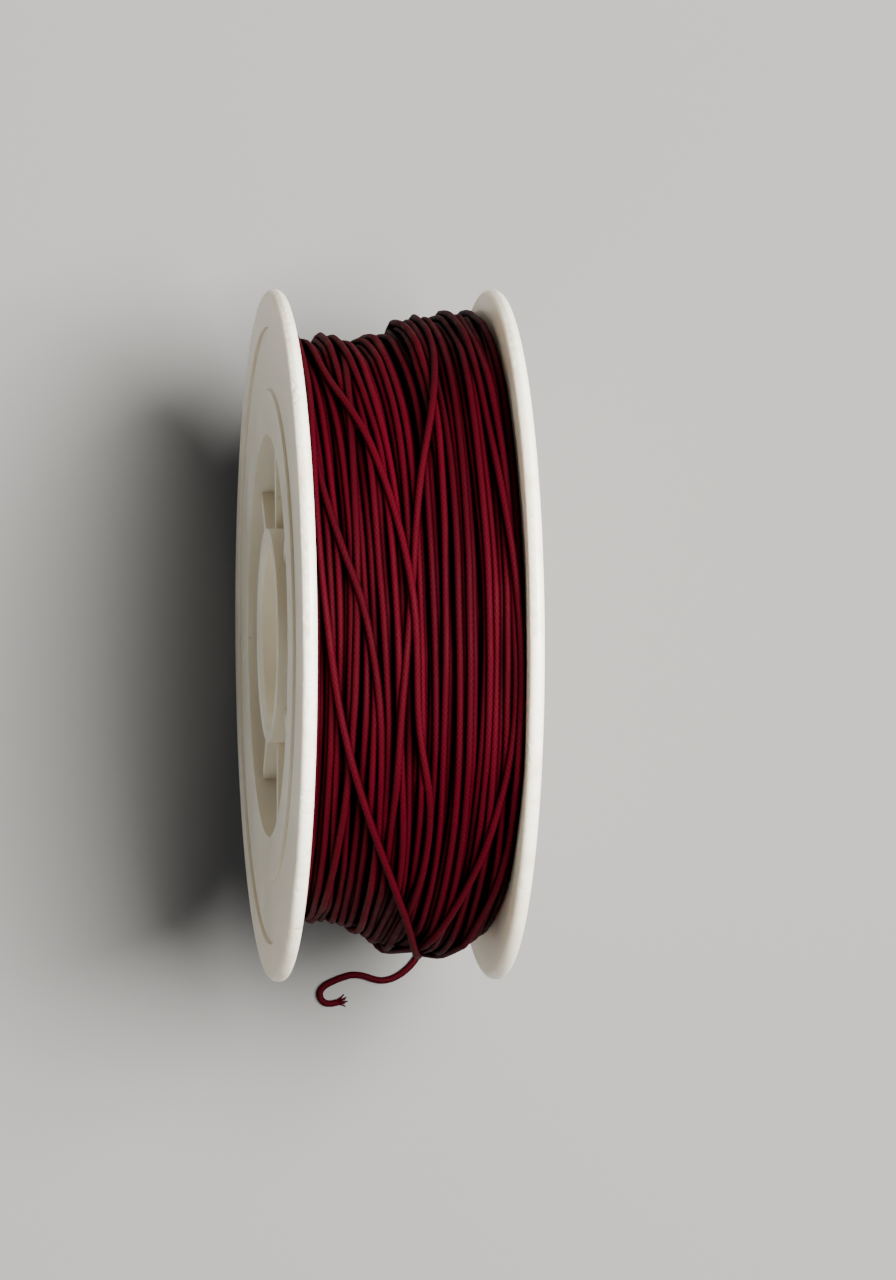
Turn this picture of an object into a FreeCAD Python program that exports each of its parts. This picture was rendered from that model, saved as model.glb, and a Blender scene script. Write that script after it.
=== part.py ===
"""A flanged spool of waxed thread, lying on its two rims.

Two moulded ends plug into the ends of a paper core tube. Each end is a thin disc with a spigot that holds the core,
a collar that makes the bore, and ribs between the two. The thread's first end is taped to the core, the winding fills
the space between the discs, and the thread's free end lies on the table. Nothing on the spool moves: it turns only
on a spindle that its user puts through the bore.

Frame: X along the spool's axis, Z up, the origin on the table under the middle of the spool. Millimetres.
"""

import FreeCAD, Part
import math
import os
import Sketcher
from FreeCAD import Vector

DIMENSIONS = {
    # The discs and what is moulded on them.
    "flange_diameter": 76.2,
    "flange_thickness": 1.6,
    "rim_rounding": 0.75,
    "recess_inner_diameter": 54.0,
    "recess_outer_diameter": 68.0,
    "recess_depth": 0.35,
    "bore_diameter": 20.0,
    "bore_chamfer": 0.5,
    "collar_wall": 1.8,
    "collar_gap": 0.4,
    "spigot_depth": 9.0,
    "spigot_wall": 1.6,
    "spigot_floor": 1.6,
    "spigot_clearance": 0.05,
    "spigot_lead": 0.6,
    "rib_count": 8,
    "rib_thickness": 1.2,
    "rib_setback": 1.0,
    "rib_overlap": 0.5,
    # The core tube and the tape on it.
    "winding_width": 22.5,
    "core_diameter": 50.8,
    "core_wall": 1.6,
    "tape_width": 12.0,
    "tape_angle": 34.0,
    "tape_thickness": 0.12,
    # The thread. The winding is fuller at the right-hand end.
    "thread_diameter": 0.8,
    "winding_left_diameter": 64.4,
    "winding_right_diameter": 70.8,
}

# The free end of the thread: off the underside of the winding, down to the table and along it. The end is folded back.
TAIL_ROUTE = [
    (8.0, 0.0, 2.76),
    (8.1, -5.0, 2.0),
    (8.7, -11.0, 1.12),
    (9.5, -16.9, 0.52),
    (10.0, -22.8, 0.42),
    (9.9, -28.5, 0.42),
    (9.6, -33.6, 0.42),
    (7.9, -38.0, 0.42),
    (4.4, -40.3, 0.42),
    (1.1, -39.0, 0.42),
    (-1.1, -39.6, 0.42),
    (-3.2, -40.6, 0.42),
    (-3.35, -41.9, 0.42),
    (-2.3, -42.7, 0.42),
    (-1.1, -42.3, 0.42),
]
ARC_SHARE = 0.45  # the part of the shorter run at a corner that its arc takes up
LEFT = -1
RIGHT = 1
VOLUME_TOLERANCE = 0.01  # of a swept tube's volume
SMALLEST_CHANGE = 1e-3  # mm³ that a pad or pocket has to change its body by
EDGE_MATCH = 1e-3  # mm, how near an edge has to be to the ring that is looked for

# Radii, and distances along X from the middle of the spool, in the sheet's terms.
FLANGE_RADIUS = "sizes.flange_diameter / 2"
BORE_RADIUS = "sizes.bore_diameter / 2"
COLLAR_RADIUS = "sizes.bore_diameter / 2 + sizes.collar_wall"
CORE_RADIUS = "sizes.core_diameter / 2"
CORE_BORE_RADIUS = "sizes.core_diameter / 2 - sizes.core_wall"
SPIGOT_RADIUS = f"{CORE_BORE_RADIUS} - sizes.spigot_clearance"
WELL_RADIUS = f"{SPIGOT_RADIUS} - sizes.spigot_wall"
INNER_FACE = "sizes.winding_width / 2"
OUTER_FACE = "sizes.winding_width / 2 + sizes.flange_thickness"
COLLAR_LENGTH = "(sizes.winding_width - sizes.collar_gap) / 2"
WELL_DEPTH = "sizes.flange_thickness + sizes.spigot_depth - sizes.spigot_floor"

doc = FreeCAD.newDocument("thread_spool")


def make_sheet():
    """The spreadsheet that the sizes are bound to."""
    sheet = doc.addObject("Spreadsheet::Sheet", "sizes")
    for row, (alias, value) in enumerate(DIMENSIONS.items(), start=1):
        sheet.set(f"A{row}", alias)
        sheet.set(f"B{row}", str(value))
        sheet.setAlias(f"B{row}", alias)
    doc.recompute()
    return sheet


sizes = make_sheet()


def value_of(expression):
    """The number that an expression over the sheet gives."""
    return float(sizes.evalExpression(expression.replace("sizes.", "")))


# Sketches and features of a body.


def new_body(name):
    """An empty body whose own origin is on the spool's axis."""
    body = doc.addObject("PartDesign::Body", name)
    body.Label = name
    body.setExpression(".Placement.Base.z", FLANGE_RADIUS)
    return body


def origin_of(body, role):
    return next(f for f in body.Origin.OriginFeatures if f.Role == role)


def cross_sketch(body, name, along_x):
    """A sketch square to the spool's axis, at a distance along X."""
    sketch = body.newObject("Sketcher::SketchObject", name)
    sketch.AttachmentSupport = [(origin_of(body, "YZ_Plane"), "")]
    sketch.MapMode = "FlatFace"
    sketch.setExpression(".AttachmentOffset.Base.z", along_x)
    return sketch


def constrain(sketch, expression, kind, *where):
    """A dimension that the sheet sets."""
    index = sketch.addConstraint(Sketcher.Constraint(kind, *where, value_of(expression)))
    sketch.setExpression(f"Constraints[{index}]", expression)


def add_circles(sketch, *radii):
    """Circles about the spool's axis."""
    for radius in radii:
        circle = sketch.addGeometry(Part.Circle(Vector(), Vector(0, 0, 1), value_of(radius)), False)
        sketch.addConstraint(Sketcher.Constraint("Coincident", circle, 3, -1, 1))
        constrain(sketch, radius, "Radius", circle)


def add_bar(sketch, width, low, high):
    """A rectangle about the sketch's upright axis, between two heights."""
    half = value_of(width) / 2
    bottom = value_of(low)
    top = value_of(high)
    corners = [Vector(-half, bottom), Vector(half, bottom), Vector(half, top), Vector(-half, top)]
    sides = [sketch.addGeometry(Part.LineSegment(corners[i], corners[(i + 1) % 4]), False) for i in range(4)]
    for side, after in zip(sides, sides[1:] + sides[:1]):
        sketch.addConstraint(Sketcher.Constraint("Coincident", side, 2, after, 1))
    sketch.addConstraint(Sketcher.Constraint("Symmetric", sides[0], 1, sides[0], 2, -2))
    sketch.addConstraint(Sketcher.Constraint("Horizontal", sides[2]))
    for side in sides[1::2]:
        sketch.addConstraint(Sketcher.Constraint("Vertical", side))
    constrain(sketch, width, "DistanceX", sides[0], 1, sides[0], 2)
    constrain(sketch, low, "DistanceY", -1, 1, sides[0], 1)
    constrain(sketch, high, "DistanceY", -1, 1, sides[2], 1)


def extrude(kind, sketch, length, way):
    """Pad or pocket a sketch towards +X or -X, and check that it changed the body as it should."""
    body = sketch.getParentGeoFeatureGroup()
    before = body.Shape.Volume if body.Tip else 0.0
    feature = body.newObject(f"PartDesign::{kind}", f"{sketch.Name}_{kind.lower()}")
    feature.Profile = sketch
    runs_towards = RIGHT if kind == "Pad" else LEFT
    feature.Reversed = way != runs_towards
    feature.setExpression("Length", length)
    doc.recompute()
    gained = body.Shape.Volume - before
    if (gained if kind == "Pad" else -gained) < SMALLEST_CHANGE:
        raise RuntimeError(f"{feature.Name} changed the volume by {gained:.3f}")
    return feature


def dress(kind, body, size, *rings):
    """Fillet or chamfer the body's circular edges about its axis, each given as a radius and a distance along X."""
    base = body.Tip
    names = []
    for radius, along_x in rings:
        for index, edge in enumerate(base.Shape.Edges, start=1):
            curve = edge.Curve
            if not isinstance(curve, Part.Circle):
                continue
            gaps = (curve.Radius - radius, curve.Center.x - along_x, curve.Center.y, curve.Center.z)
            if max(map(abs, gaps)) < EDGE_MATCH:
                names.append(f"Edge{index}")
    if len(names) != len(rings):
        raise RuntimeError(f"{body.Name}: {len(names)} of {len(rings)} edges found")
    feature = body.newObject(f"PartDesign::{kind}", f"{base.Name}_{kind.lower()}")
    feature.Base = (base, names)
    feature.setExpression("Radius" if kind == "Fillet" else "Size", size)
    doc.recompute()


# The pieces.


def make_flange(name, side):
    """One moulded end of the spool. side is LEFT or RIGHT, and it is also the way that its outer face looks."""
    body = new_body(name)
    inner_face = f"{side} * ({INNER_FACE})"
    outer_face = f"{side} * ({OUTER_FACE})"
    collar_end = f"{side} * ({INNER_FACE} - ({COLLAR_LENGTH}))"
    spigot_end = f"{side} * ({INNER_FACE} - sizes.spigot_depth)"

    disc = cross_sketch(body, f"{name}_disc", inner_face)
    add_circles(disc, FLANGE_RADIUS)
    extrude("Pad", disc, "sizes.flange_thickness", side)
    rim = value_of(FLANGE_RADIUS)
    dress("Fillet", body, "sizes.rim_rounding", (rim, value_of(inner_face)), (rim, value_of(outer_face)))

    spigot = cross_sketch(body, f"{name}_spigot", inner_face)
    add_circles(spigot, SPIGOT_RADIUS)
    extrude("Pad", spigot, "sizes.spigot_depth", -side)
    dress("Chamfer", body, "sizes.spigot_lead", (value_of(SPIGOT_RADIUS), value_of(spigot_end)))

    collar = cross_sketch(body, f"{name}_collar", inner_face)
    add_circles(collar, COLLAR_RADIUS)
    extrude("Pad", collar, COLLAR_LENGTH, -side)

    well = cross_sketch(body, f"{name}_well", outer_face)
    add_circles(well, COLLAR_RADIUS, WELL_RADIUS)
    extrude("Pocket", well, WELL_DEPTH, -side)

    rib = cross_sketch(body, f"{name}_rib", f"{side} * ({OUTER_FACE} - sizes.rib_setback)")
    add_bar(rib, "sizes.rib_thickness", f"{COLLAR_RADIUS} - sizes.rib_overlap", f"{WELL_RADIUS} + sizes.rib_overlap")
    first_rib = extrude("Pad", rib, f"{WELL_DEPTH} - sizes.rib_setback + sizes.rib_overlap", -side)
    ribs = body.newObject("PartDesign::PolarPattern", f"{name}_ribs")
    ribs.Originals = [first_rib]
    ribs.Axis = (origin_of(body, "X_Axis"), [""])
    ribs.setExpression("Occurrences", "sizes.rib_count")
    body.Tip = ribs
    doc.recompute()

    recess = cross_sketch(body, f"{name}_recess", outer_face)
    add_circles(recess, "sizes.recess_inner_diameter / 2", "sizes.recess_outer_diameter / 2")
    extrude("Pocket", recess, "sizes.recess_depth", -side)

    bore = cross_sketch(body, f"{name}_bore", outer_face)
    add_circles(bore, BORE_RADIUS)
    extrude("Pocket", bore, f"sizes.flange_thickness + {COLLAR_LENGTH}", -side)
    hole = value_of(BORE_RADIUS)
    dress("Chamfer", body, "sizes.bore_chamfer", (hole, value_of(outer_face)), (hole, value_of(collar_end)))
    return body


def make_core():
    """The paper tube that the thread is wound on, cut square to butt against both discs."""
    body = new_body("core_tube")
    ring = cross_sketch(body, "core_ring", f"-({INNER_FACE})")
    add_circles(ring, CORE_RADIUS, CORE_BORE_RADIUS)
    extrude("Pad", ring, "sizes.winding_width", RIGHT)
    return body


def make_tape():
    """The patch of tape that holds the thread's first end on the core. It follows the core's curve."""
    parts = []
    for name, radius in (("tape_outside", f"{CORE_RADIUS} + sizes.tape_thickness"), ("tape_inside", CORE_RADIUS)):
        wedge = doc.addObject("Part::Cylinder", name)
        wedge.setExpression("Radius", radius)
        wedge.setExpression("Height", "sizes.tape_width")
        wedge.setExpression("Angle", "sizes.tape_angle")
        parts.append(wedge)
    tape = doc.addObject("Part::Cut", "anchor_tape")
    tape.Label = "anchor_tape"
    tape.Base, tape.Tool = parts
    # The cylinders stand along Z, so a turn about Y lays the patch on the core, along X.
    tape.Placement.Rotation = FreeCAD.Rotation(Vector(0, 1, 0), 90)
    tape.setExpression(".Placement.Base.x", "-sizes.tape_width / 2")
    tape.setExpression(".Placement.Base.z", FLANGE_RADIUS)
    doc.recompute()
    return tape


def make_winding(tape):
    """The outer shape of all the turns of thread together, with the room that the tape takes up left out."""
    cone = doc.addObject("Part::Cone", "turns_outside")
    cone.setExpression("Radius1", "sizes.winding_left_diameter / 2")
    cone.setExpression("Radius2", "sizes.winding_right_diameter / 2")
    hole = doc.addObject("Part::Cylinder", "turns_inside")
    hole.setExpression("Radius", CORE_RADIUS)
    for solid in (cone, hole):
        solid.setExpression("Height", "sizes.winding_width")
        solid.Placement.Rotation = FreeCAD.Rotation(Vector(0, 1, 0), 90)
        solid.setExpression(".Placement.Base.x", f"-({INNER_FACE})")
        solid.setExpression(".Placement.Base.z", FLANGE_RADIUS)
    turns = doc.addObject("Part::Cut", "turns")
    turns.Base = cone
    turns.Tool = hole
    winding = doc.addObject("Part::Cut", "thread_winding")
    winding.Label = "thread_winding"
    winding.Base = turns
    winding.Tool = tape
    doc.recompute()
    return winding


def arc_corners(route):
    """For each corner of the route: where its arc starts, passes halfway and ends, and the arc's radius."""
    points = [Vector(*p) for p in route]
    corners = []
    for before, corner, after in zip(points, points[1:], points[2:]):
        run_in = corner - before
        run_out = after - corner
        turn = run_in.getAngle(run_out)
        trim = ARC_SHARE * min(run_in.Length, run_out.Length)
        radius = trim / math.tan(turn / 2)
        start = corner - run_in.normalize() * trim
        end = corner + run_out.normalize() * trim
        bisector = ((start + end) * 0.5 - corner).normalize()
        halfway = corner + bisector * (radius / math.cos(turn / 2) - radius)
        corners.append((start, halfway, end, radius))
    return corners


def make_tail():
    """The free end of the thread: a round section swept along straight runs joined by tangent arcs."""
    corners = arc_corners(TAIL_ROUTE)
    edges = []
    here = Vector(*TAIL_ROUTE[0])
    for start, halfway, end, _ in corners:
        edges.append(Part.LineSegment(here, start).toShape())
        edges.append(Part.Arc(start, halfway, end).toShape())
        here = end
    edges.append(Part.LineSegment(here, Vector(*TAIL_ROUTE[-1])).toShape())
    path = Part.Wire(edges)
    radius = sizes.thread_diameter / 2
    way = edges[0].tangentAt(edges[0].FirstParameter)
    section = Part.Wire(Part.makeCircle(radius, Vector(*TAIL_ROUTE[0]), way))
    tube = path.makePipeShell([section], True, False)

    expected = math.pi * radius**2 * path.Length
    radii = ", ".join(f"{corner[3]:.1f}" for corner in corners)
    print(f"tail: {path.Length:.1f} mm long, bend radii {radii} mm")
    print(f"tail: volume {tube.Volume:.2f} of {expected:.2f} mm3, lowest point {tube.BoundBox.ZMin:.3f} mm")
    if abs(tube.Volume / expected - 1) > VOLUME_TOLERANCE:
        raise RuntimeError("the tail's volume is not its section times its length")
    tail = doc.addObject("Part::Feature", "thread_tail")
    tail.Label = "thread_tail"
    tail.Shape = tube
    return tail


def check(pieces):
    """Stop if any object of the document failed, or if a piece has no sound shape."""
    failed = [o.Name for o in doc.Objects if {"Invalid", "Error"} & set(o.State)]
    failed += [p.Label for p in pieces if p.Shape.isNull() or not p.Shape.isValid() or len(p.Shape.Solids) != 1]
    if failed:
        raise RuntimeError(f"not sound: {failed}")


left_flange = make_flange("left_flange", LEFT)
right_flange = make_flange("right_flange", RIGHT)
core_tube = make_core()
anchor_tape = make_tape()
thread_winding = make_winding(anchor_tape)
thread_tail = make_tail()
pieces = [left_flange, right_flange, core_tube, anchor_tape, thread_winding, thread_tail]

doc.recompute()
check(pieces)
os.makedirs("parts", exist_ok=True)
for piece in pieces:
    piece.Shape.exportStep(f"parts/{piece.Label}.step")
    box = piece.Shape.optimalBoundingBox()
    print(
        f"{piece.Label}: {piece.Shape.Volume:.0f} mm3, x {box.XMin:.2f} to {box.XMax:.2f}, "
        f"y {box.YMin:.2f} to {box.YMax:.2f}, z {box.ZMin:.2f} to {box.ZMax:.2f}"
    )
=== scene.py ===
"""Looks for the waxed thread spool: its one thread wound turn by turn, and the materials of its pieces."""

import math

import bmesh
import bpy
import numpy as np
from mathutils import Matrix, Vector


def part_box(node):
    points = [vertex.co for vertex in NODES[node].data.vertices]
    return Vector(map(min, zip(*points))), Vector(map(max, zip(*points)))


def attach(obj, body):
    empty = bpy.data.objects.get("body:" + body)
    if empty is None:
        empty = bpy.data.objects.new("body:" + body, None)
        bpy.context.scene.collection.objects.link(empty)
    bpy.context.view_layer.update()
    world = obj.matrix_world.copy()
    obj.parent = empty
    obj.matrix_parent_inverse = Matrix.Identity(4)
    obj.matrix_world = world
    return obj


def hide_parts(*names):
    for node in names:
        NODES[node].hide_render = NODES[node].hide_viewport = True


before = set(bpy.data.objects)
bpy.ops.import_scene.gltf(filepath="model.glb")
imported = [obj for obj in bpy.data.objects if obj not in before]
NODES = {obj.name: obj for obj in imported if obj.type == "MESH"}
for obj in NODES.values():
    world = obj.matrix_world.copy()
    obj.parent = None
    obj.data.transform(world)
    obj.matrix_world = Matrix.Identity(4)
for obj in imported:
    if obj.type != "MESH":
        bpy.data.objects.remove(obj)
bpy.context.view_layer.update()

MM = 0.001

CAD_STEP = 0.05 * MM  # the CAD's sizes are multiples of this


def true_size(measured):
    """The CAD's own size. A mesh of a round piece falls a little short of it."""
    return round(measured / CAD_STEP) * CAD_STEP


# Sizes that the CAD gives: the core, the gap between the discs, and the spool's axis above the table.
CORE_LOW, CORE_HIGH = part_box("core_tube")
CORE_RADIUS = true_size((CORE_HIGH.z - CORE_LOW.z) / 2)
AXIS_HEIGHT = true_size((CORE_HIGH.z + CORE_LOW.z) / 2)
HALF_GAP = true_size((CORE_HIGH.x - CORE_LOW.x) / 2)

# The thread.
THREAD_DIAMETER = 0.8 * MM
SIDE_LIMIT = HALF_GAP - THREAD_DIAMETER / 2  # how far across the spool the thread's middle can lie

# Where the free end runs, from the underside of the winding to the cut end.
TAIL_ROUTE = [
    (0.0080, 0.0, 0.00276),
    (0.0081, -0.0050, 0.0020),
    (0.0087, -0.0110, 0.00112),
    (0.0095, -0.0169, 0.00052),
    (0.0100, -0.0228, 0.00042),
    (0.0099, -0.0285, 0.00042),
    (0.0096, -0.0336, 0.00042),
    (0.0079, -0.0380, 0.00042),
    (0.0044, -0.0403, 0.00042),
    (0.0011, -0.0390, 0.00042),
    (-0.0011, -0.0396, 0.00042),
    (-0.0032, -0.0406, 0.00042),
    (-0.00335, -0.0419, 0.00042),
    (-0.0023, -0.0427, 0.00042),
    (-0.0011, -0.0423, 0.00042),
]

# The camera: nearly straight above, a little to the left of the spool.
LOOKS_AT = Vector((7.2 * MM, -0.6 * MM, AXIS_HEIGHT))
CAMERA_DISTANCE = 806 * MM
CAMERA_LEAN = math.radians(7.07)  # from straight above, towards -X
CAMERA_ROLL = math.radians(0.35)
FRAME_HEIGHT = 141.4 * MM  # what the picture's long side shows at LOOKS_AT
SENSOR = 36.0  # mm, the unit of a camera's sensor and lens


def make_camera():
    """The scene's camera, with its upright along the spool's Y but for a slight roll."""
    back = Vector((-math.sin(CAMERA_LEAN), 0, math.cos(CAMERA_LEAN)))
    level_right = Vector((0, 1, 0)).cross(back)
    upright = Vector((0, 1, 0)) * math.cos(CAMERA_ROLL) + level_right * math.sin(CAMERA_ROLL)
    right = upright.cross(back)
    data = bpy.data.cameras.new("camera")
    data.sensor_width = SENSOR
    data.lens = SENSOR * CAMERA_DISTANCE / FRAME_HEIGHT
    camera = bpy.data.objects.new("camera", data)
    place = Matrix((right, upright, back)).transposed().to_4x4()
    place.translation = LOOKS_AT + back * CAMERA_DISTANCE
    camera.matrix_world = place
    bpy.context.collection.objects.link(camera)
    bpy.context.scene.camera = camera


# The winding. Angles go round the spool's axis from its top over to +Y, the way the thread was wound.
PRESSED = 0.97  # how close wound threads lie, in diameters
STEPS = 90  # places round one turn at which the winding is worked out
CELL = 0.1 * MM  # the width across the spool of one of the pile's cells
CELL_SHIFT = 0.25  # of a cell; keeps a thread at a disc away from the middle between two cells
SLIP_CELLS = 10  # how many cells to either side a strand may slip as it is wound
SLIP_COST = 0.6 / MM  # how far a strand has to drop to slip sideways, over the square of the slip
SLIP_SPAN = 9  # steps over which a slip is spread
WINDOW = STEPS // 4  # steps that are wound at a time
DIGITS = 9  # decimals of a metre that places in the winding are rounded to


class Pile:
    """How far from the axis the wound thread reaches, for every angle and every place across the spool."""

    def __init__(self):
        contact = THREAD_DIAMETER * PRESSED / 2
        reach = int(contact / CELL)
        self.offsets = np.arange(-reach, reach + 1)
        self.arch = np.sqrt(contact**2 - (self.offsets * CELL) ** 2)
        self.edge = -HALF_GAP - (reach + CELL_SHIFT) * CELL
        width = int(2 * HALF_GAP / CELL) + 2 * reach + 4
        self.height = np.full((STEPS, width), CORE_RADIUS)

    def cells(self, steps, across):
        """The cells that a thread at these places touches, for each step a row."""
        columns = np.rint((across - self.edge) / CELL).astype(int)
        return (steps % STEPS)[:, None], columns[:, None] + self.offsets

    def rest_radius(self, steps, across):
        """How far from the axis the thread's middle is where it lies on what is below."""
        return (self.height[self.cells(steps, across)] + self.arch).max(axis=1)

    def lay(self, steps, across, radius):
        """Add a stretch of thread to the pile."""
        where = self.cells(steps, across)
        self.height[where] = np.maximum(self.height[where], radius[:, None] + self.arch)


def pulled_taut(angles, radii):
    """The thread's distance from the axis when it is pulled tight over these places."""
    flat_x = radii * np.sin(angles)
    flat_y = radii * np.cos(angles)
    touching = [0]
    for i in range(1, len(angles)):
        while len(touching) > 1:
            a, b = touching[-2:]
            run = (flat_x[b] - flat_x[a], flat_y[b] - flat_y[a])
            if run[0] * (flat_y[i] - flat_y[a]) - run[1] * (flat_x[i] - flat_x[a]) < 0:
                break
            touching.pop()
        touching.append(i)
    touching = np.array(touching)
    stretch = np.searchsorted(touching, np.arange(len(angles)), side="right") - 1
    stretch = np.clip(stretch, 0, len(touching) - 2)
    a = touching[stretch]
    b = touching[stretch + 1]
    from_a = radii[a] * np.sin(angles - angles[a])
    to_b = radii[b] * np.sin(angles[b] - angles)
    return radii[a] * radii[b] * np.sin(angles[b] - angles[a]) / (from_a + to_b)


def slipped(pile, steps, across, start_slip):
    """The places across after the thread has slipped sideways to where it lies lower, if that is near."""
    slips = np.arange(-SLIP_CELLS, SLIP_CELLS + 1) * CELL
    costs = []
    for slip in slips:
        tried = across + slip
        cost = pile.rest_radius(steps, np.clip(tried, -SIDE_LIMIT, SIDE_LIMIT)) + SLIP_COST * slip**2
        costs.append(np.where(np.abs(tried) > SIDE_LIMIT + CELL / 2, math.inf, cost))
    best = slips[np.argmin(costs, axis=0)]
    kernel = np.hanning(2 * SLIP_SPAN + 3)[1:-1]
    before = np.full(SLIP_SPAN, start_slip)
    after = np.full(SLIP_SPAN, best[-SLIP_SPAN:].mean())
    spread = np.convolve(np.concatenate([before, best, after]), kernel / kernel.sum(), mode="valid")
    return np.clip(across + spread, -SIDE_LIMIT, SIDE_LIMIT)


def settled(values):
    """Rounded. The last digits of a sine differ between machines and would grow into another winding."""
    return np.round(values, DIGITS)


def wind(wanted):
    """Where the thread lies across and how far from the axis at each step, wound tight over what is below.

    The thread is wound a window at a time. The window after it is looked at too, because the thread is pulled
    tight over what comes next.
    """
    pile = Pile()
    across = wanted.copy()
    radius = np.zeros(len(wanted))
    for start in range(0, len(wanted), WINDOW):
        stop = min(start + WINDOW, len(wanted))
        first = max(start - 1, 0)
        steps = np.arange(first, min(stop + WINDOW, len(wanted)))
        places = settled(slipped(pile, steps, wanted[steps], across[first] - wanted[first]))
        free = pile.rest_radius(steps, places)
        if start:
            # The slip starts from where the last window left it.
            ease = np.clip(np.arange(len(steps)) / SLIP_SPAN, 0, 1)
            places = settled(places + (across[first] - places[0]) * (1 - ease))
            free = pile.rest_radius(steps, places)
            free[0] = radius[first]
        tight = settled(pulled_taut(steps * (2 * math.pi / STEPS), free))
        across[start:stop] = places[start - first : stop - first]
        radius[start:stop] = tight[start - first : stop - first]
        done = np.arange(start, stop)
        pile.lay(done, across[done], radius[done])
    return across, radius


def ramps(stops):
    """Where the thread lies across the spool at each step, from (place, turns taken to reach it) pairs."""
    stretches = []
    for (here, _), (there, turns) in zip(stops, stops[1:]):
        stretches.append(np.linspace(here, there, round(turns * STEPS), endpoint=False))
    return np.concatenate(stretches)


def wander(count, size, rng):
    """Smooth random steps to either side, between knots that lie at even spaces along the thread."""
    knots = rng.normal(0, size, int(count / STEPS * KNOTS_PER_TURN) + 4)
    at = np.arange(count) / STEPS * KNOTS_PER_TURN
    knot = at.astype(int)
    part = at - knot
    blend = part * part * (3 - 2 * part)
    return knots[knot] * (1 - blend) + knots[knot + 1] * blend


FULL_PASSES = 6
FULL_PITCH = 0.80 * MM
TURN_BACKS = {2: -3.0 * MM, 4: 3.0 * MM}  # after these full passes, an extra pass goes back to these places
DWELL = 0.5  # turns that the thread stays against a disc


def inner_passes():
    """Even passes from disc to disc, and extra ones that fill up the right-hand side."""
    stops = [(-SIDE_LIMIT, 0)]

    def go_to(place):
        stops.append((place, abs(place - stops[-1][0]) / FULL_PITCH))
        stops.append((place, DWELL))

    for number in range(FULL_PASSES):
        go_to(SIDE_LIMIT if stops[-1][0] < 0 else -SIDE_LIMIT)
        if number in TURN_BACKS:
            go_to(TURN_BACKS[number])
            go_to(SIDE_LIMIT)
    return ramps(stops)


# The last turns, which lie loose over the rest. For each, the place across in mm at angles in degrees: -90 is
# at the side that the free end lies on, 0 on top, 90 at the far side and 180 underneath.
LAST_TURNS = [
    [
        (-76, -0.9), (-45, -0.1), (-18, -1.2), (8, -1.6), (30, -2.5),
        (45, -3.5), (60, -4.7), (90, -6.4), (180, -4.6),
    ],
    [
        (-90, -2.2), (-45, -1.9), (-10, -1.7), (9, -0.8), (31, 0.9),
        (45, 2.6), (61, 3.7), (90, 3.9), (180, 3.0),
    ],
    [
        (-61, 0.9), (-46, 1.7), (-32, 1.6), (-18, 0.2), (4, -0.3),
        (25, -2.1), (40, -4.2), (56, -6.9), (90, -9.4), (180, -7.0),
    ],
    [
        (-76, -2.9), (-34, -3.2), (-8, -4.5), (6, -6.0), (18, -8.1),
        (30, -9.6), (50, -10.4), (90, -10.2), (180, -4.0),
    ],
    [
        (-75, 2.9), (-54, 6.2), (-38, 8.1), (-17, 9.8),
        (10, 9.4), (50, 9.3), (90, 8.8), (180, 6.0),
    ],
    [
        (-75, 2.3), (-57, -0.4), (-39, -3.9), (-22, -6.9), (-1, -9.2),
        (14, -10.2), (57, -10.5), (108, -10.2), (180, -2.6),
    ],
    [
        (-82, 6.3), (-57, 9.4), (-41, 10.8), (-15, 11.0), (0, 10.6),
        (15, 10.0), (35, 9.0), (60, 8.1), (90, 7.7),
    ],
]
LEAVES_AT = 167  # degrees round the last turn where the thread leaves the winding


def smooth_through(knots, values, at):
    """The values of a smooth curve through the knots."""
    slopes = np.gradient(values, knots)
    left = np.clip(np.searchsorted(knots, at, side="right") - 1, 0, len(knots) - 2)
    width = knots[left + 1] - knots[left]
    part = (at - knots[left]) / width
    rise = values[left + 1] - values[left]
    bend_in = slopes[left] * width - rise
    bend_out = rise - slopes[left + 1] * width
    return values[left] + part * rise + part * (1 - part) * ((1 - part) * bend_in + part * bend_out)


def last_turns(first_step, here):
    """The places across of the last turns, one step after another, from where the thread is now."""
    angles = [first_step * 360 / STEPS]
    places = [here]
    turn = math.ceil(angles[0] / 360)
    for anchors in LAST_TURNS:
        turn += 1
        for angle, place in anchors:
            angles.append(turn * 360 + angle)
            places.append(place * MM)
    angles.append(turn * 360 + LEAVES_AT)
    places.append(TAIL_ROUTE[0][0])
    steps = np.arange(first_step, round(angles[-1] * STEPS / 360))
    return smooth_through(np.array(angles), np.array(places), steps * 360 / STEPS)


# Patches in which the strands of the outer passes lean to one side: the patch's angle and its place across,
# how far the strands are shifted there, and how far the patch reaches round and across. Angles are in degrees
# and the rest is in mm.
LEANS = [
    (-106, 7.0, -2.4, 42, 6.5),
    (104, -1.5, -2.4, 48, 7.0),
    (190, 2.0, 1.0, 45, 7.0),
]


def leaning(steps, across):
    """The places across, moved as the leaning patches move them."""
    angles = steps * 360 / STEPS
    moved = across.copy()
    for angle, place, shift, angle_reach, place_reach in LEANS:
        off_angle = (angles - angle + 180) % 360 - 180
        off_place = across - place * MM
        patch = np.exp(-((off_angle / angle_reach) ** 2) - (off_place / (place_reach * MM)) ** 2)
        moved += shift * MM * patch
    return moved


OUTER_STOPS = [(SIDE_LIMIT, 24.5), (SIDE_LIMIT, 0.6), (-SIDE_LIMIT, 17.2)]  # places, turns to reach them
WINDING_SEED = 5
KNOTS_PER_TURN = 3  # of the wandering to either side
INNER_WANDER = 0.12 * MM
OUTER_WANDER = 0.2 * MM
LAST_WANDER = 0.06 * MM


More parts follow.
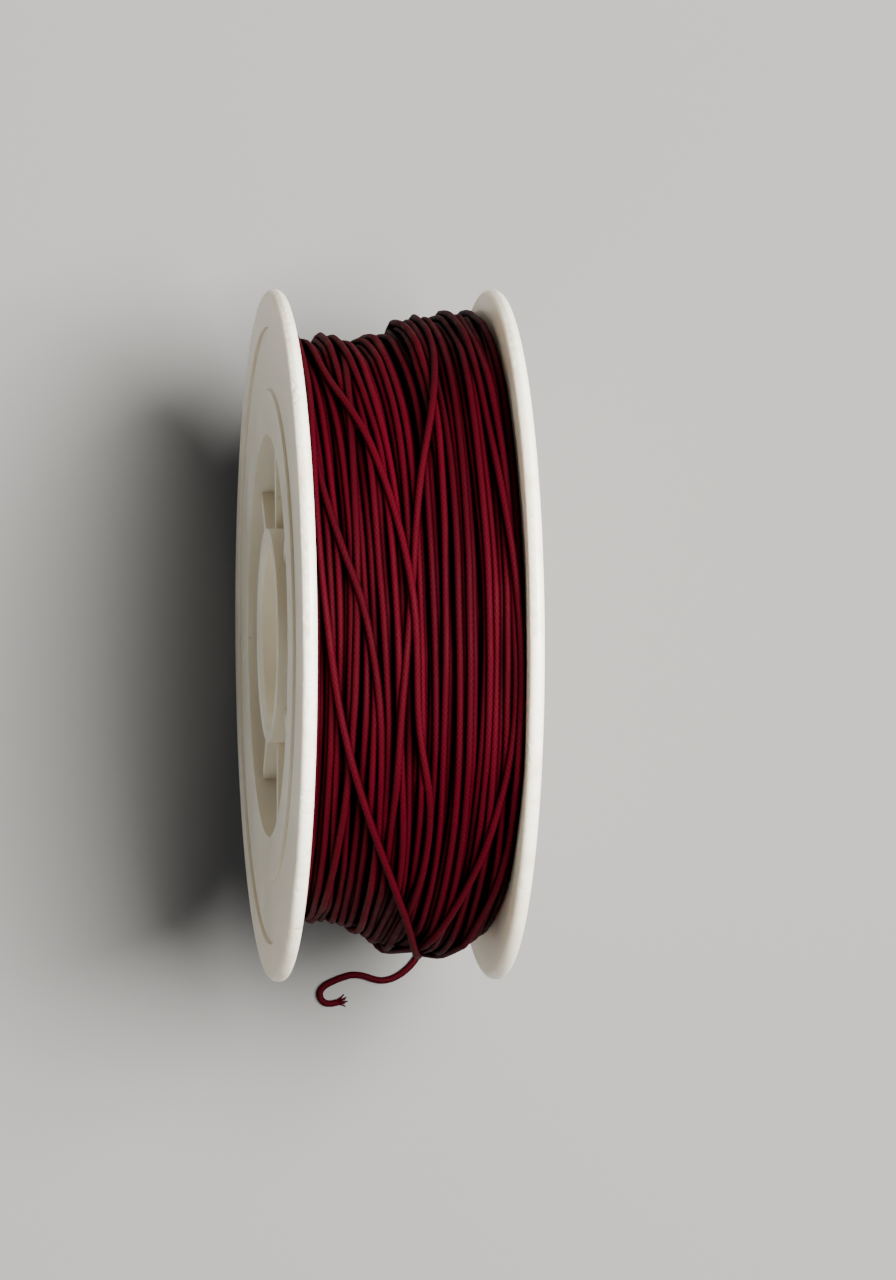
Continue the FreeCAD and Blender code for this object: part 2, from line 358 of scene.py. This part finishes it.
def thread_path():
    """The thread's turns: for each step, the angle, the place across and the distance from the axis.

    The count of the inner passes' steps comes with them.
    """
    rng = np.random.default_rng(WINDING_SEED)
    inner = inner_passes()
    inner += wander(len(inner), INNER_WANDER, rng)
    outer = ramps([(inner[-1], 0)] + OUTER_STOPS)
    outer = leaning(np.arange(len(inner), len(inner) + len(outer)), outer)
    outer += wander(len(outer), OUTER_WANDER, rng)
    across = np.concatenate([inner, outer])
    loose = last_turns(len(across), across[-1])
    loose += wander(len(loose), LAST_WANDER, rng)
    across = np.clip(np.concatenate([across, loose]), -SIDE_LIMIT, SIDE_LIMIT)
    across, radius = wind(settled(across))
    angle = np.arange(len(across)) * (2 * math.pi / STEPS)
    return angle, across, radius, len(inner)


SPARSE = 6  # steps between the route's points in the inner passes
SAMPLES = 6  # points read from the spline for each of the route's points


def make_route():
    """Points read along the thread's route, and how many points of the route are in its turns.

    The route is one NURBS spline: the turns, and then the free end.
    """
    angle, across, radius, inner_steps = thread_path()
    outer_start = inner_steps - inner_steps % SPARSE
    sparse = np.arange(0, outer_start, SPARSE)
    dense = np.arange(outer_start, len(angle))
    chosen = np.concatenate([sparse, dense])
    # A spline of this order cuts inside a ring of points, so the points stand out by as much.
    sparse_share = 1 / math.cos(math.pi * SPARSE / STEPS)
    dense_share = 1 / math.cos(math.pi / STEPS)
    out = radius[chosen] * np.where(chosen < outer_start, sparse_share, dense_share)
    far = out * np.sin(angle[chosen])
    high = AXIS_HEIGHT + out * np.cos(angle[chosen])
    turns = np.stack([across[chosen], far, high], axis=1)
    points = np.concatenate([turns, np.array(TAIL_ROUTE)])

    data = bpy.data.curves.new("thread_route", "CURVE")
    data.dimensions = "3D"
    spline = data.splines.new("NURBS")
    spline.points.add(len(points) - 1)
    spline.points.foreach_set("co", np.column_stack([points, np.ones(len(points))]).ravel())
    spline.order_u = 3
    spline.use_endpoint_u = True
    spline.resolution_u = SAMPLES
    line = bpy.data.objects.new("thread_route", data)
    mesh = bpy.data.meshes.new_from_object(line)
    read = np.zeros(3 * len(mesh.vertices))
    mesh.vertices.foreach_get("co", read)
    bpy.data.meshes.remove(mesh)
    bpy.data.objects.remove(line)
    return read.reshape(-1, 3), len(turns)


TUBE_SIDES = 8
BRAID_STEP = 0.7 * MM  # from one crossing of the braid to the next, along the thread


def carried_frames(points):
    """For each point of a line, two directions square to it that turn with it as little as they can."""
    along = np.gradient(points, axis=0)
    along /= np.linalg.norm(along, axis=1)[:, None]
    side = np.zeros_like(points)
    side[0] = np.cross(along[0], (1.0, 0.0, 0.0))
    side[0] /= np.linalg.norm(side[0])
    for i in range(1, len(points)):
        carried = side[i - 1] - along[i] * (side[i - 1] @ along[i])
        side[i] = carried / math.sqrt(carried @ carried)
    return side, np.cross(along, side)


def tube_mesh(name, points, radius):
    """A round tube along a line, with closed ends. Its UV map gives braid steps along and the share round."""
    side, other = carried_frames(points)
    count = len(points)
    turn = np.arange(TUBE_SIDES) * (2 * math.pi / TUBE_SIDES)
    rim = side[:, None] * np.cos(turn)[None, :, None] + other[:, None] * np.sin(turn)[None, :, None]
    vertices = (points[:, None] + rim * radius).reshape(-1, 3)
    ring = np.arange(count - 1)[:, None] * TUBE_SIDES
    a = np.arange(TUBE_SIDES)
    b = (a + 1) % TUBE_SIDES
    quads = np.stack([ring + a, ring + b, ring + b + TUBE_SIDES, ring + a + TUBE_SIDES], axis=2)
    faces = quads.reshape(-1, 4).tolist()
    faces.append(a[::-1].tolist())
    faces.append((a + (count - 1) * TUBE_SIDES).tolist())
    mesh = bpy.data.meshes.new(name)
    mesh.from_pydata(vertices.tolist(), [], faces)

    lengths = np.linalg.norm(np.diff(points, axis=0), axis=1)
    reached = np.concatenate([[0], np.cumsum(lengths)]) / BRAID_STEP
    start = np.repeat(reached[:-1], TUBE_SIDES)
    end = np.repeat(reached[1:], TUBE_SIDES)
    low = np.tile(a / TUBE_SIDES, count - 1)
    high = low + 1 / TUBE_SIDES
    corners = np.stack([start, low, start, high, end, high, end, low], axis=1).ravel()
    caps = np.zeros(4 * TUBE_SIDES)
    layer = mesh.uv_layers.new(name="braid")
    layer.data.foreach_set("uv", np.concatenate([corners, caps]))
    mesh.shade_smooth()
    return mesh


FRAY_SEED = 5
FRAY_FIBRES = 8
FRAY_RADIUS = 0.08 * MM
FRAY_SPREAD = math.radians(22)  # to each side of the thread's own way
FRAY_UNEVEN = 0.15  # of the spread, for the fibres' leans
FRAY_ROOT = 0.4 * MM  # how far inside the cut end the fibres start
FRAY_ROOT_SIDE = 0.3 * THREAD_DIAMETER  # how far to either side of the thread's middle they start
FRAY_ROOT_HEIGHTS = (-0.15, 0.2)  # and how far above it, in diameters
FRAY_LENGTHS = (0.8 * MM, 1.5 * MM)
FRAY_TIP_HIGHEST = 4 * FRAY_RADIUS
FRAY_SAG = 1.5  # power of the share along a fibre by which it comes down to the table
FRAY_POINTS = 7


def make_fray(end, way):
    """The strands of the braid that have come a little apart at the cut end."""
    rng = np.random.default_rng(FRAY_SEED)
    side = np.array([-way[1], way[0], 0.0])
    along = np.linspace(0, 1, FRAY_POINTS)[:, None]
    joined = bmesh.new()
    for share in np.linspace(-1, 1, FRAY_FIBRES):
        lean = FRAY_SPREAD * (share + rng.normal(0, FRAY_UNEVEN))
        out = way * math.cos(lean) + side * math.sin(lean)
        start = end - way * FRAY_ROOT + side * share * FRAY_ROOT_SIDE
        start[2] += rng.uniform(*FRAY_ROOT_HEIGHTS) * THREAD_DIAMETER
        fibre = start + (way * (1 - along) + out * along) * along * rng.uniform(*FRAY_LENGTHS)
        landed = rng.uniform(FRAY_RADIUS, FRAY_TIP_HIGHEST)
        fibre[:, 2] = start[2] + (landed - start[2]) * along[:, 0] ** FRAY_SAG
        tube = tube_mesh("fibre", fibre, FRAY_RADIUS)
        joined.from_mesh(tube)
        bpy.data.meshes.remove(tube)
    mesh = bpy.data.meshes.new("frayed_end")
    joined.to_mesh(mesh)
    joined.free()
    mesh.shade_smooth()
    fray = bpy.data.objects.new("frayed_end", mesh)
    bpy.context.collection.objects.link(fray)
    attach(fray, "root")
    return fray


def make_thread():
    """The whole thread as one tube, and the frayed end that goes with it.

    Its turns have one ring for each point of the route, and its free end one for each point read.
    """
    read, turn_count = make_route()
    in_turns = np.arange(0, turn_count * SAMPLES, SAMPLES)
    in_tail = np.arange(turn_count * SAMPLES, len(read))
    points = read[np.concatenate([in_turns, in_tail])]
    mesh = tube_mesh("thread", points, THREAD_DIAMETER / 2)
    thread = bpy.data.objects.new("thread", mesh)
    bpy.context.collection.objects.link(thread)
    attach(thread, "root")
    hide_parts("thread_winding", "thread_tail")
    way = points[-1] - points[-3]
    fray = make_fray(points[-1], way / np.linalg.norm(way))
    return thread, fray


# Materials.


class Nodes:
    """A material's node tree, with short calls to add and join nodes."""

    def __init__(self, name):
        self.material = bpy.data.materials.new(name)
        self.material.use_nodes = True
        self.tree = self.material.node_tree
        self.shader = self.tree.nodes["Principled BSDF"]

    def add(self, kind, settings=None, **inputs):
        """A new node. In the inputs' names, _ stands for a space."""
        node = self.tree.nodes.new(f"ShaderNode{kind}")
        for name, value in (settings or {}).items():
            setattr(node, name, value)
        for name, value in inputs.items():
            self.put(node, name.replace("_", " "), value)
        return node

    def put(self, node, name, value):
        """Set an input, or link another node's output to it."""
        socket = node.inputs[int(name)] if name.isdigit() else node.inputs[name]
        if isinstance(value, bpy.types.NodeSocket):
            self.tree.links.new(value, socket)
        else:
            socket.default_value = value

    def math(self, operation, first, second=0.0):
        """The output of a Math node."""
        node = self.tree.nodes.new("ShaderNodeMath")
        node.operation = operation
        self.put(node, "0", first)
        self.put(node, "1", second)
        return node.outputs[0]

    def noise(self, scale, detail, roughness, vector=None):
        """Noise from 0 to 1, over the object in waves per metre unless another vector is given."""
        node = self.add("TexNoise", Scale=scale, Detail=detail, Roughness=roughness)
        self.put(node, "Vector", vector or self.add("TexCoord").outputs["Object"])
        return node.outputs["Fac"]

    def ramp(self, factor, *stops):
        """A colour ramp. Each stop is a place and a colour."""
        node = self.add("ValToRGB", Fac=factor)
        elements = node.color_ramp.elements
        while len(elements) < len(stops):
            elements.new(0.5)
        for element, (place, colour) in zip(elements, stops):
            element.position = place
            element.color = (*colour, 1)
        return node.outputs["Color"]

    def spread(self, factor, read, given):
        """The factor's range that is read, turned into the range that is given and held at its ends."""
        low, high = read
        to_low, to_high = given
        node = self.add("MapRange", Value=factor, From_Min=low, From_Max=high, To_Min=to_low, To_Max=to_high)
        return node.outputs["Result"]

    def bump(self, height, distance, strength, normal=None):
        """A normal with bumps as high as the distance, on top of another normal's if one is given."""
        node = self.add("Bump", Height=height, Distance=distance, Strength=strength)
        if normal:
            self.put(node, "Normal", normal)
        return node.outputs["Normal"]


OPENNESS_SAMPLES = 6  # rays with which a material feels how open its surroundings are

THREAD_DARK = (0.017, 0.0002, 0.0016)
THREAD_MID = (0.033, 0.0003, 0.0029)
THREAD_LIGHT = (0.056, 0.0007, 0.0050)
BRAID_STRANDS = 4  # strands of the braid that go each way round
BRAID_DEPTH = 0.045 * MM
FIBRE_DEPTH = 0.02 * MM
SHADE_STEPS = 150  # braid steps over which the dye's depth changes
FIBRE_SHARE = 0.45  # of the thread's shade; the dye's depth is the rest
CREVICE_REACH = 1.8 * MM  # how near other turns have to be for the painted shade to darken the thread
CREVICE_SHADE = 0.1  # what is left of the colour where the turns lie closest, under the painted shade
WAX_SHINE = 0.03


def waxed_thread():
    """Burgundy braided thread with wax on it: a fine braid, fibres along it, small changes of tone, and
    painted shade where the turns lie close and in the braid's hollows.
    """
    n = Nodes("waxed_thread")
    uv = n.add("UVMap", {"uv_map": "braid"}).outputs["UV"]
    split = n.add("SeparateXYZ", Vector=uv)
    along = n.math("MULTIPLY", split.outputs["X"], math.pi)
    around = n.math("MULTIPLY", split.outputs["Y"], math.pi * BRAID_STRANDS)
    one_way = n.math("SINE", n.math("ADD", around, along))
    other_way = n.math("SINE", n.math("SUBTRACT", around, along))
    braid = n.math("SQRT", n.math("ABSOLUTE", n.math("MULTIPLY", one_way, other_way)))
    fibre_place = n.add("Mapping", Vector=uv, Scale=(1.2, 14.0, 1.0)).outputs["Vector"]
    fibres = n.noise(scale=2.0, detail=4.0, roughness=0.65, vector=fibre_place)
    patches = n.noise(scale=420.0, detail=3.0, roughness=0.6)
    dye_place = n.add("Mapping", Vector=uv, Scale=(1.0 / SHADE_STEPS, 0.0, 1.0)).outputs["Vector"]
    dye = n.noise(scale=1.0, detail=1.0, roughness=0.5, vector=dye_place)

    shade = n.math("ADD", n.math("MULTIPLY", fibres, FIBRE_SHARE), n.math("MULTIPLY", dye, 1 - FIBRE_SHARE))
    colour = n.ramp(shade, (0.36, THREAD_DARK), (0.5, THREAD_MID), (0.64, THREAD_LIGHT))
    # Painted shade: the colour is darker in the braid's hollows, on top of the braid's bump.
    painted_valley_shade = n.spread(braid, (0.0, 0.6), (0.5, 1.0))
    # Painted shade: the colour is darkened where other turns lie close, as shade falls there, and the shine
    # is cut there by the same share.
    open_air = n.add("AmbientOcclusion", {"samples": OPENNESS_SAMPLES}, Distance=CREVICE_REACH).outputs["AO"]
    painted_crevice_shade = n.spread(open_air, (0.2, 0.92), (CREVICE_SHADE, 1.0))
    shade_by = n.math("MULTIPLY", painted_valley_shade, painted_crevice_shade)
    shaded = n.add("MixRGB", {"blend_type": "MULTIPLY"}, Fac=1.0, Color1=colour, Color2=shade_by)
    n.put(n.shader, "Base Color", shaded.outputs["Color"])
    n.put(n.shader, "Roughness", n.spread(patches, (0.3, 0.7), (0.55, 0.75)))
    n.put(n.shader, "Specular IOR Level", n.math("MULTIPLY", painted_crevice_shade, WAX_SHINE))
    fine = n.bump(fibres, FIBRE_DEPTH, strength=0.6)
    n.put(n.shader, "Normal", n.bump(braid, BRAID_DEPTH, strength=0.7, normal=fine))
    return n.material


PLASTIC_AGED = (0.81, 0.74, 0.58)
PLASTIC_CLEAN = (0.88, 0.835, 0.71)
# The brown of the dirt specks and rubbed rims, and also of the painted shade in the corners.
GRIME_AND_SHADE = (0.60, 0.49, 0.33)
RIM_STARTS = 37.0 * MM  # how far from the axis the discs' rounded rims start
RIM_FADE = 0.7 * MM
RIM_ROUGHER = 0.08
MOULD_RING = 0.45 * MM  # between the faint rings that the turned mould leaves
MOULD_RING_DEPTH = 0.003 * MM
GRAIN_DEPTH = 0.02 * MM
NICK_DEPTH = 0.12 * MM
WAVE_DEPTH = 0.25 * MM  # of the plastic's slow unevenness
CORNER_REACH = 2.5 * MM  # how far from a corner the painted shade reaches
LIGHT_ENTERS = 0.35  # the share of the light that enters the plastic
LIGHT_DEPTH = 1.3 * MM  # how deep it goes
LIGHT_DEPTH_SHARES = (1.0, 0.7, 0.4)  # for red, green and blue


def moulded_plastic():
    """Off-white satin plastic that light enters a little, yellowed in places, with rubbed and nicked rims and
    painted shade in its corners.
    """
    n = Nodes("moulded_plastic")
    place = n.add("SeparateXYZ", Vector=n.add("TexCoord").outputs["Object"])
    above_axis = n.math("SUBTRACT", place.outputs["Z"], AXIS_HEIGHT)
    from_axis = n.add("CombineXYZ", Y=place.outputs["Y"], Z=above_axis)
    length = n.add("VectorMath", {"operation": "LENGTH"})
    n.put(length, "0", from_axis.outputs["Vector"])
    reach = length.outputs["Value"]
    rim = n.spread(reach, (RIM_STARTS, RIM_STARTS + RIM_FADE), (0.0, 1.0))

    ageing = n.noise(scale=30.0, detail=4.0, roughness=0.6)
    base = n.ramp(ageing, (0.32, PLASTIC_AGED), (0.6, PLASTIC_CLEAN))
    open_air = n.add("AmbientOcclusion", {"samples": OPENNESS_SAMPLES}, Distance=CORNER_REACH).outputs["AO"]
    specks = n.noise(scale=900.0, detail=2.0, roughness=0.6)
    speck_share = n.spread(specks, (0.22, 0.30), (0.55, 0.0))
    rubs = n.noise(scale=230.0, detail=5.0, roughness=0.7)
    rub_share = n.math("MULTIPLY", rim, n.spread(rubs, (0.5, 0.68), (0.0, 0.5)))
    # Painted shade: the plastic is darkened towards that brown in its corners, where shade falls.
    painted_corner_shade = n.spread(open_air, (0.35, 0.85), (0.45, 0.0))
    grime_and_shade_share = n.math("MAXIMUM", n.math("MAXIMUM", speck_share, rub_share), painted_corner_shade)
    colour = n.add("MixRGB", {"blend_type": "MIX"}, Fac=grime_and_shade_share, Color1=base, Color2=(*GRIME_AND_SHADE, 1.0))
    n.put(n.shader, "Base Color", colour.outputs["Color"])

    n.put(n.shader, "Subsurface Weight", LIGHT_ENTERS)
    n.put(n.shader, "Subsurface Radius", LIGHT_DEPTH_SHARES)
    n.put(n.shader, "Subsurface Scale", LIGHT_DEPTH)
    handling = n.noise(scale=120.0, detail=4.0, roughness=0.6)
    roughness = n.spread(handling, (0.3, 0.7), (0.3, 0.46))
    n.put(n.shader, "Roughness", n.math("ADD", roughness, n.math("MULTIPLY", rim, RIM_ROUGHER)))

    rings = n.math("SINE", n.math("MULTIPLY", reach, 2 * math.pi / MOULD_RING))
    ringed = n.bump(rings, MOULD_RING_DEPTH, strength=0.5)
    grain = n.noise(scale=700.0, detail=2.0, roughness=0.5)
    grained = n.bump(grain, GRAIN_DEPTH, strength=0.35, normal=ringed)
    knocks = n.noise(scale=330.0, detail=3.0, roughness=0.6)
    nicks = n.math("MULTIPLY", rim, n.spread(knocks, (0.56, 0.72), (0.0, 1.0)))
    nicked = n.bump(n.math("SUBTRACT", 1.0, nicks), NICK_DEPTH, strength=0.7, normal=grained)
    waves = n.noise(scale=60.0, detail=2.0, roughness=0.4)
    n.put(n.shader, "Normal", n.bump(waves, WAVE_DEPTH, strength=0.25, normal=nicked))
    return n.material


BOARD_DARK = (0.30, 0.22, 0.15)
BOARD_LIGHT = (0.47, 0.37, 0.26)
TAPE_DARK = (0.62, 0.55, 0.40)
TAPE_LIGHT = (0.76, 0.70, 0.55)
PAPER_DEPTH = 0.05 * MM  # of the grain of the board and of the tape


def core_board():
    """Grey-brown paper board with fibres in it."""
    n = Nodes("core_board")
    mottling = n.noise(scale=420.0, detail=5.0, roughness=0.65)
    fibres = n.noise(scale=1400.0, detail=4.0, roughness=0.6)
    n.put(n.shader, "Base Color", n.ramp(mottling, (0.3, BOARD_DARK), (0.7, BOARD_LIGHT)))
    n.put(n.shader, "Roughness", 0.85)
    n.put(n.shader, "Normal", n.bump(fibres, PAPER_DEPTH, strength=0.5))
    return n.material


def paper_tape():
    """Cream paper tape with a crepe grain, which is finer across the spool than round it."""
    n = Nodes("paper_tape")
    place = n.add("TexCoord").outputs["Object"]
    stretched = n.add("Mapping", Vector=place, Scale=(4.0, 1.0, 1.0)).outputs["Vector"]
    grain = n.noise(scale=500.0, detail=4.0, roughness=0.6, vector=stretched)
    n.put(n.shader, "Base Color", n.ramp(grain, (0.3, TAPE_DARK), (0.7, TAPE_LIGHT)))
    n.put(n.shader, "Roughness", 0.7)
    n.put(n.shader, "Normal", n.bump(grain, PAPER_DEPTH, strength=0.6))
    return n.material


def dress_node(node, material):
    """Give a carried-over CAD node its finished material."""
    mesh = NODES[node].data
    mesh.materials.clear()
    mesh.materials.append(material)


# The stage.
FLOOR_REACH = 1.5  # m, to each side
FLOOR_COLOUR = (0.15, 0.148, 0.144, 1.0)
FLOOR_ROUGHNESS = 0.9
WORLD_COLOUR = (0.95, 0.97, 1.0, 1.0)
WORLD_STRENGTH = 0.12
LIGHT_AIM = (0, 0, 0.04)  # about the middle of the spool


def make_floor():
    """A plain pale floor under the spool."""
    mesh = bpy.data.meshes.new("floor")
    mesh.from_pydata(
        [
            (-FLOOR_REACH, -FLOOR_REACH, 0),
            (FLOOR_REACH, -FLOOR_REACH, 0),
            (FLOOR_REACH, FLOOR_REACH, 0),
            (-FLOOR_REACH, FLOOR_REACH, 0),
        ],
        [],
        [(0, 1, 2, 3)],
    )
    floor = bpy.data.objects.new("floor", mesh)
    bpy.context.collection.objects.link(floor)
    n = Nodes("floor")
    n.put(n.shader, "Base Color", FLOOR_COLOUR)
    n.put(n.shader, "Roughness", FLOOR_ROUGHNESS)
    mesh.materials.append(n.material)


def make_light(name, place, size, power, colour):
    """A square area light that points at the spool."""
    data = bpy.data.lights.new(name, "AREA")
    data.shape = "SQUARE"
    data.size = size
    data.energy = power
    data.color = colour
    light = bpy.data.objects.new(name, data)
    light.location = place
    light.rotation_euler = (Vector(LIGHT_AIM) - Vector(place)).to_track_quat("-Z", "Y").to_euler()
    bpy.context.collection.objects.link(light)


def make_world():
    """A weak, even light from all around."""
    world = bpy.data.worlds.new("studio")
    world.use_nodes = True
    background = world.node_tree.nodes["Background"]
    background.inputs["Color"].default_value = WORLD_COLOUR
    background.inputs["Strength"].default_value = WORLD_STRENGTH
    bpy.context.scene.world = world


make_camera()
thread_material = waxed_thread()
for piece in make_thread():
    piece.data.materials.append(thread_material)
plastic = moulded_plastic()
for flange in ("left_flange", "right_flange"):
    dress_node(flange, plastic)
dress_node("core_tube", core_board())
dress_node("anchor_tape", paper_tape())
make_floor()
make_light("top_light", place=(0.24, 0.10, 0.77), size=0.40, power=42.0, colour=(1.0, 0.985, 0.95))
make_light("side_fill", place=(-0.60, -0.50, 0.45), size=0.50, power=1.6, colour=(0.95, 0.97, 1.0))
make_world()
